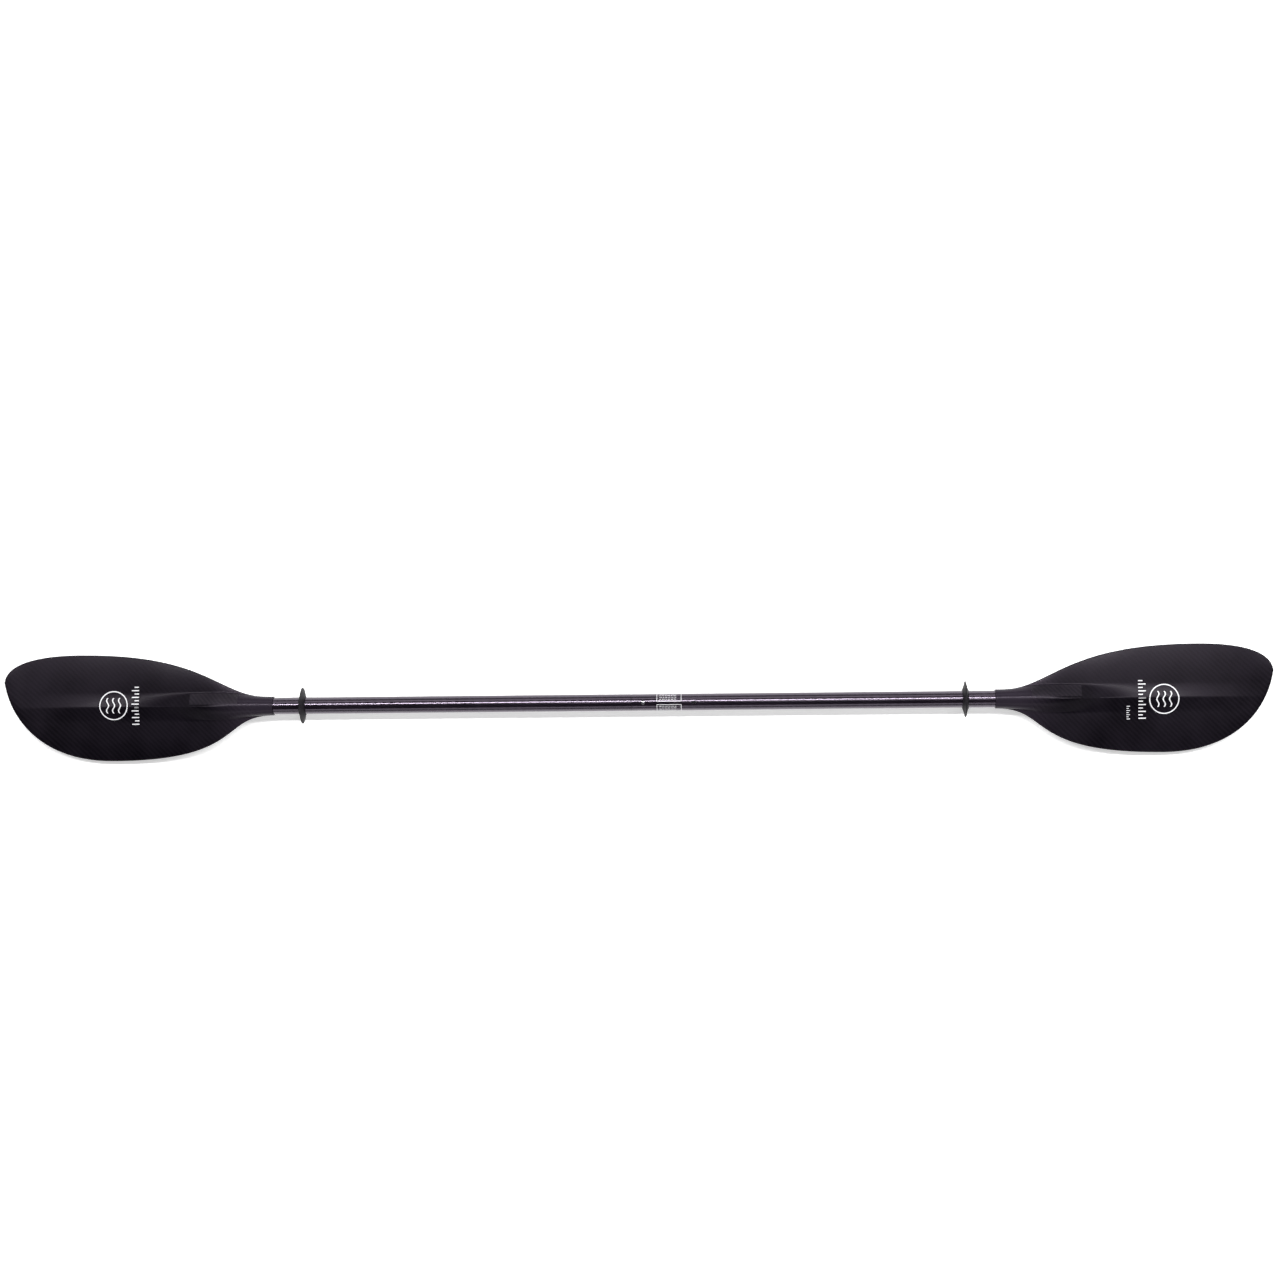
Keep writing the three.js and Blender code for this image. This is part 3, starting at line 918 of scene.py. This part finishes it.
# %% Button and arm
ARM_TOP = 10.6 * MM
ARM_END = 72 * MM
DOME_RISE = 0.9 * MM
dome = []
for degrees in range(90, 0, -15):
    turn = math.radians(degrees)
    rise = DOME_RISE * (1 - math.cos(turn))
    dome.append((button_high.z - rise, HEAD_RADIUS * math.sin(turn)))
head_outline = [(ARM_TOP - 0.5 * MM, 0.01 * MM), (ARM_TOP - 0.5 * MM, HEAD_RADIUS)] + dome
head = spun(
    "button_head", head_outline + [(button_high.z, 0.01 * MM)], 64, axis="Z",
    centre=(button_station, 0, 0), sharp_degrees=50,
)
dress(head, "button", ["spring_button"], button_steel)

arm = slot_cutter(
    Vector(((button_low.x + ARM_END) / 2, 0, 0)), ARM_END - button_low.x, 7.2 * MM,
    ARM_TOP - 1 * MM, ARM_TOP - CLOSED,
)
arm.name = arm.data.name = "button_arm"
soften(arm, 0.2 * MM)
dress(arm, "button", [], grey_nylon)
print(f"button at {button_station:.4f} m, top at {button_high.z:.5f} m")

# %% [markdown]
# ## The socket side
# A liner inside the right half guides the sleeve, and a bulkhead closes the tube behind it so that
# the shaft floats. The liner has the same two holes as the tube, so the same cutters make them. The
# window's lens is cut from a tube too, which gives it the curve of the shaft.

# %% Liner, bulkhead and window
liner_low, liner_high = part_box("female_liner")
bulkhead_low, bulkhead_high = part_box("female_bulkhead")

liner = spun(
    "socket_liner",
    tube_outline(liner_low.x, liner_high.x, SLEEVE_RADIUS + 0.3 * MM, BONDED_RADIUS),
    bevel=0.2 * MM,
)
open_joint(liner)
dress(liner, "right_half", ["female_liner"], grey_nylon)

bulkhead = spun(
    "bulkhead",
    [
        (bulkhead_low.x, CLOSED),
        (bulkhead_low.x, 8 * MM),
        (bulkhead_low.x + 0.8 * MM, 9 * MM),
        (bulkhead_low.x, 10 * MM),
        (bulkhead_low.x, BONDED_RADIUS),
        (bulkhead_high.x, BONDED_RADIUS),
        (bulkhead_high.x, CLOSED),
    ],
    bevel=0.2 * MM,
)
dress(bulkhead, "right_half", ["female_bulkhead"], black_nylon)

lens = spun(
    "view_lens",
    tube_outline(window_low.x - 5 * MM, window_high.x + 5 * MM, 12 * MM, shaft_radius - 0.25 * MM),
    128,
)
lens_shape = slot_cutter(window_centre, WINDOW[0] - 0.4 * MM, WINDOW[1] - 0.4 * MM, *CUT)
bored(lens, lens_shape, "INTERSECT")
dress(lens, "right_half", ["view_window"], smoked_plastic)
print("socket parts:", liner.name, bulkhead.name, lens.name, len(lens.data.polygons), "faces")

# %% [markdown]
# ## Printed marks
# Ink is a film on the surface, a few hundredths of a millimetre thick. Painting it in the shader
# would need the surface to be unrolled, so here each mark is a thin mesh. A flat shape is cut up
# finely, laid on the blade by a ray from above, or rolled round the shaft, and given its thickness.

# %% Flat shapes
INK_FILM = 0.04 * MM
INK_LIFT = 0.03 * MM


def strip(x0, y0, x1, y1, pitch=1.5 * MM):
    """A flat rectangle as a grid: its points and its faces."""
    columns = max(1, round(abs(x1 - x0) / pitch))
    rows = max(1, round(abs(y1 - y0) / pitch))
    points = [
        (x0 + (x1 - x0) * i / columns, y0 + (y1 - y0) * j / rows)
        for i in range(columns + 1)
        for j in range(rows + 1)
    ]
    stride = rows + 1
    corners = [i * stride + j for i in range(columns) for j in range(rows)]
    return points, [(a, a + stride, a + stride + 1, a + 1) for a in corners]


def band(x, y, inner, outer, start=0, end=360, steps=96):
    """A flat arc between two radii."""
    closed = end - start == 360
    count = steps if closed else steps + 1
    points = []
    for i in range(count):
        turn = math.radians(start + (end - start) * i / steps)
        for radius in (inner, (inner + outer) / 2, outer):
            points.append((x + radius * math.cos(turn), y + radius * math.sin(turn)))
    faces = []
    for i in range(steps):
        a, b = 3 * i, 3 * ((i + 1) % count)
        faces += [(a, a + 1, b + 1, b), (a + 1, a + 2, b + 2, b + 1)]
    return points, faces


def wave(x, y, length, height, width, cycles, steps=60):
    """A flat wavy line, upright, of even width."""
    points = []
    for i in range(steps + 1):
        share = i / steps
        middle = x + height * math.sin(share * cycles * 2 * math.pi)
        along = y + (share - 0.5) * length
        points += [(middle - width / 2, along), (middle, along), (middle + width / 2, along)]
    faces = []
    for i in range(steps):
        a, b = 3 * i, 3 * i + 3
        faces += [(a, a + 1, b + 1, b), (a + 1, a + 2, b + 2, b + 1)]
    return points, faces


def laid(name, shapes, place, film=INK_FILM):
    """Puts flat shapes on a surface and thickens them. Place gives (x, y) a point and a normal."""
    build = bmesh.new()
    for points, faces in shapes:
        low, high = [], []
        for x, y in points:
            spot, normal = place(x, y)
            low.append(build.verts.new(spot + normal * INK_LIFT))
            high.append(build.verts.new(spot + normal * (INK_LIFT + film)))
        rims = {}
        for face in faces:
            build.faces.new([high[i] for i in face])
            build.faces.new([low[i] for i in reversed(face)])
            for i, j in zip(face, face[1:] + face[:1]):
                rims[(i, j)] = True
        for i, j in rims:
            if (j, i) not in rims:
                build.faces.new((low[i], low[j], high[j], high[i]))
    mesh = bpy.data.meshes.new(name)
    build.to_mesh(mesh)
    build.free()
    return plain_piece(name, mesh, 40)


def surface_of(piece):
    """A search tree for laying shapes on a piece."""
    build = bmesh.new()
    build.from_mesh(piece.data)
    tree = BVHTree.FromBMesh(build)
    build.free()
    return tree


def on_blade(tree, side):
    """Places blade coordinates, from the neck's end, on the power face."""

    def place(x, y):
        spot, normal, _, _ = tree.ray_cast(
            Vector((side * (neck_end + x), y, 0.1)), Vector((0, 0, -1))
        )
        return spot, normal

    return place


def round_shaft(radius):
    """Places distances along and round the shaft. Round goes to +Y from the top."""

    def place(x, y):
        turn = y / radius
        normal = Vector((0, math.sin(turn), math.cos(turn)))
        return Vector((x, 0, 0)) + normal * radius, normal

    return place


print("printing helpers ready")

# %% [markdown]
# ## Blade badges
# Each power face carries a round badge and an upright row of bars beside it. The design is plain: a
# ring round three waves.

# %% Print the badges
def badge(x, y, radius):
    ring = band(x, y, radius - 1.9 * MM, radius)
    reach = radius * 1.05
    waves = [
        wave(x + step * radius * 0.42, y, reach, 1.9 * MM, 2.2 * MM, 1.5) for step in (-1, 0, 1)
    ]
    return [ring, *waves]


def bars(x, low, high, width, count, thick):
    """An upright row of short bars."""
    pitch = (high - low) / (count - 1)
    made = []
    for i in range(count):
        y = low + i * pitch
        length = width if i % 2 == 0 else width * 0.6
        made.append(strip(x - width / 2, y - thick / 2, x - width / 2 + length, y + thick / 2))
    return made


places = {
    name: on_blade(surface_of(skins[f"{name}_power_face_skin"]), side) for name, side in SIDES
}
prints = (
    ("left", "left_badge", badge(286 * MM, 3 * MM, 25.6 * MM)),
    ("left", "left_badge_bars", bars(247 * MM, -30 * MM, 35 * MM, 13 * MM, 12, 1.9 * MM)),
    ("right", "right_badge", badge(291 * MM, -3 * MM, 26 * MM)),
    ("right", "right_badge_bars", bars(253 * MM, -36 * MM, 29 * MM, 13 * MM, 12, 1.9 * MM)),
    ("right", "right_small_bars", bars(229 * MM, -37 * MM, -15 * MM, 6 * MM, 7, 1.1 * MM)),
)
for name, title, shapes in prints:
    piece = laid(title, shapes, places[name])
    dress(piece, f"{name}_half", [], white_ink)
    print(piece.name, len(piece.data.polygons), "faces")

# %% [markdown]
# ## Reinforcement plies
# Where the neck spreads into the blade, the load is highest, so a strip of heavier cloth is laid
# over the upper side of the crest. Its lighter colour is painted light, for the light that falls on
# that side. It ends in a straight cut. It is laid like the ink, but thicker.

# %% Lay the plies
PLY_FILM = 0.15 * MM
# The strip covers only the crest's upper side; its lighter colour is painted light on that side.
cloth = strip(62 * MM, 4 * MM, 148 * MM, 23 * MM)
for name, place in places.items():
    ply = laid(f"{name}_reinforcement_ply_painted_light", [cloth], place, PLY_FILM)
    dress(ply, f"{name}_half", [], ply_carbon_painted_light)
    print(ply.name, len(ply.data.polygons), "faces")

# %% [markdown]
# ## The shaft's label
# A white frame is printed round the shaft beside the joint, in two panels with lines inside, where
# a maker prints a size chart. Dashes stand for its text.

# %% Print the label
LABEL_START = 43.5 * MM
LABEL_END = 86.5 * MM
LINE = 0.9 * MM
TEXT_HEIGHT = 0.8 * MM
TEXT_GAP = 1.2 * MM
TEXT_LINES = 4
WORDS = (4.6, 3.4, 5.0, 2.8, 4.2, 3.6)


def panel(low, high):
    """A frame between two distances round the shaft, with lines inside it."""
    frame_lines = [
        strip(LABEL_START, low, LABEL_END, low + LINE),
        strip(LABEL_START, high - LINE, LABEL_END, high),
        strip(LABEL_START, low + LINE, LABEL_START + LINE, high - LINE),
        strip(LABEL_END - LINE, low + LINE, LABEL_END, high - LINE),
    ]
    pitch = (high - low) / (TEXT_LINES + 1)
    for i in range(1, TEXT_LINES + 1):
        y = low + i * pitch
        start = LABEL_START + 4.5 * MM
        for step in range(len(WORDS)):
            length = WORDS[(step + i) % len(WORDS)] * MM
            bottom = y - TEXT_HEIGHT / 2
            frame_lines.append(strip(start, bottom, start + length, bottom + TEXT_HEIGHT))
            start += length + TEXT_GAP
    return frame_lines


panels = panel(1.5 * MM, 21 * MM) + panel(-21 * MM, -3.5 * MM)
label = laid("shaft_label", panels, round_shaft(shaft_radius))
dress(label, "right_half", [], white_ink)
print(label.name, len(label.data.polygons), "faces")

# %% [markdown]
# ## The feather scale
# The ring behind the sleeve carries the angles, which show through the window. Every tick is the
# same bar at another angle, so a Geometry Nodes tree sets them out round the ring.

# %% Scale ticks
TICKS = 24


def tick_tree(material):
    recipe = Recipe("Scale Ticks", ("Radius", "Station", "Length", "Thickness", "Height"))
    bar = recipe.node("GeometryNodeMeshCube")
    size = recipe.node(
        "ShaderNodeCombineXYZ",
        {"X": recipe.size("Length"), "Y": recipe.size("Thickness"), "Z": recipe.size("Height")},
    )
    recipe.feed(bar.inputs["Size"], size.outputs[0])
    ring = recipe.node("GeometryNodeMeshCircle", {"Vertices": TICKS})
    index = Number(recipe, recipe.node("GeometryNodeInputIndex").outputs[0])
    turn = index * (2 * math.pi / TICKS)
    spot = recipe.node(
        "ShaderNodeCombineXYZ",
        {
            "X": recipe.size("Station"),
            "Y": recipe.size("Radius") * recipe.sum("SINE", turn),
            "Z": recipe.size("Radius") * recipe.sum("COSINE", turn),
        },
    )
    placed = recipe.node(
        "GeometryNodeSetPosition", {"Geometry": ring.outputs[0], "Position": spot.outputs[0]}
    )
    tilt = recipe.node("ShaderNodeCombineXYZ", {"X": 0 - turn})
    ticks = recipe.node(
        "GeometryNodeInstanceOnPoints",
        {"Points": placed.outputs[0], "Instance": bar.outputs["Mesh"], "Rotation": tilt.outputs[0]},
    )
    recipe.finish(ticks.outputs[0], material)
    return recipe


ticks = grown(
    "angle_ticks",
    tick_tree(dark_ink),
    {
        "Radius": SLEEVE_RADIUS + 0.02 * MM,
        "Station": window_centre.x + 4.5 * MM,
        "Length": 3 * MM,
        "Thickness": 0.5 * MM,
        "Height": 0.12 * MM,
    },
)
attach(ticks, "left_half")
print(ticks.name, len(ticks.data.polygons), "faces")

# %% [markdown]
# ## Scale numbers
# The angles run from 60 degrees on one side to 60 on the other, fifteen apart. Each number is a
# text object that is made into a mesh and turned round the ring to its own place.

# %% Scale numbers
STEP_DEGREES = 15
numbers = []
for step in range(-4, 5):
    text = bpy.data.curves.new("number", "FONT")
    text.body = str(abs(step) * STEP_DEGREES)
    text.size = 3.1 * MM
    text.align_x = "CENTER"
    text.align_y = "CENTER"
    text.extrude = 0.05 * MM
    holder = bpy.data.objects.new("number", text)
    bpy.context.scene.collection.objects.link(holder)
    mesh = evaluated_mesh(holder)
    bpy.data.objects.remove(holder)
    turn = Matrix.Rotation(math.radians(-STEP_DEGREES * step), 4, "X")
    lift = Matrix.Translation((window_centre.x - 0.5 * MM, 0, SLEEVE_RADIUS + 0.05 * MM))
    mesh.transform(turn @ lift)
    numbers.append(mesh)
build = bmesh.new()
for mesh in numbers:
    build.from_mesh(mesh)
joined = bpy.data.meshes.new("angle_numbers")
build.to_mesh(joined)
build.free()
angle_numbers = plain_piece("angle_numbers", joined)
dress(angle_numbers, "left_half", [], dark_ink)
print(angle_numbers.name, len(angle_numbers.data.polygons), "faces")

# %% [markdown]
# ## Foam inside the shaft
# Foam fills the blades, but nobody sees it, and the closed skins stand for it. The plugs at the
# shaft's ends are closed in too. Their CAD shape is good enough, so they only get the look of foam.

# %% Finish the hidden foam
for name, _ in SIDES:
    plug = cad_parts[f"{name}_shaft_plug"]
    plug.data.materials.clear()
    plug.data.materials.append(foam)
print("foam nodes finished")

# %% [markdown]
# ## Floor, light and camera
# A pale floor lies just under the drip rings, on which the paddle rests. A long soft light over the
# upper edge draws one thin line along the shaft. Wide lights at both sides keep the floor white and
# leave the space round the camera dim, so that the flat of the blade stays near black. A faint
# light overhead lifts the right blade a little, which tells its two slopes apart.

# %% Set the stage
FLOOR_HALF = 12.0
FLOOR_GAP = 0.5 * MM
scene = bpy.context.scene
floor_mesh = bpy.data.meshes.new("floor")
corners = ((-1, -1), (1, -1), (1, 1), (-1, 1))
floor_mesh.from_pydata(
    [(x * FLOOR_HALF, y * FLOOR_HALF, floor_height - FLOOR_GAP) for x, y in corners],
    [],
    [(0, 1, 2, 3)],
)
floor = bpy.data.objects.new("floor", floor_mesh)
scene.collection.objects.link(floor)
pale_floor, _, floor_shader = new_material("floor", (0.93, 0.93, 0.93), 0.9, Emission_Strength=0.45)
floor_shader.inputs["Emission Color"].default_value = (1, 1, 1, 1)
floor_mesh.materials.append(pale_floor)

world = bpy.data.worlds.new("Studio")
scene.world = world
world.use_nodes = True
backdrop = world.node_tree
sky = backdrop.nodes["Background"]
sky.inputs["Color"].default_value = (1, 1, 1, 1)
direction = backdrop.nodes.new("ShaderNodeSeparateXYZ")
where = backdrop.nodes.new("ShaderNodeTexCoord").outputs["Generated"]
backdrop.links.new(where, direction.inputs[0])
glow = ramp(backdrop, direction.outputs[2], 0.15, 0.7, 0.45, 0.03)
backdrop.links.new(glow, sky.inputs["Strength"])
scene.view_settings.view_transform = "Standard"
scene.view_settings.look = "None"


def soft_light(name, spot, target, width, depth, power):
    data = bpy.data.lights.new(name, "AREA")
    data.shape = "RECTANGLE"
    data.size = width
    data.size_y = depth
    data.energy = power
    light = bpy.data.objects.new(name, data)
    scene.collection.objects.link(light)
    light.location = spot
    light.rotation_mode = "QUATERNION"
    light.rotation_quaternion = (Vector(target) - Vector(spot)).to_track_quat("-Z", "Y")
    light.visible_camera = False


soft_light("long_edge_light", (0.7, 1.2, 3.4), (0.7, 0, 0), 6.5, 0.25, 240)
soft_light("right_overhead_light", (1.3, 0.3, 3.4), (1.3, 0.1, 0), 2.2, 0.8, 9)
soft_light("upper_side_light", (0, 3.4, 2.4), (0, 0, 0), 6.0, 1.2, 40)
soft_light("lower_side_light", (0, -3.8, 2.2), (0, 0, 0), 6.0, 1.2, 30)

# %% [markdown]
# ## The camera
# The camera looks straight down from four metres, turned a little to one side, so that the right
# half comes out slightly larger. The lens is given by its focal length in pixels of the image.

# %% Aim the camera
FOCAL_PIXELS = 2299
IMAGE_SIDE = 1280
SENSOR_WIDTH = 36
DISTANCE = 4.0
YAW = math.radians(2.59)
ROLL = math.radians(-0.63)
camera_data = bpy.data.cameras.new("camera")
camera_data.sensor_width = SENSOR_WIDTH
camera_data.lens = SENSOR_WIDTH * FOCAL_PIXELS / IMAGE_SIDE
camera_data.clip_end = 50
camera = bpy.data.objects.new("camera", camera_data)
scene.collection.objects.link(camera)
aim = Vector((0.0153, 0.1085, 0))
turn = Matrix.Rotation(YAW, 4, "Y") @ Matrix.Rotation(ROLL, 4, "Z")
camera.matrix_world = Matrix.Translation(aim) @ turn @ Matrix.Translation((0, 0, DISTANCE))
scene.camera = camera
print("camera at", tuple(round(c, 3) for c in camera.matrix_world.translation))
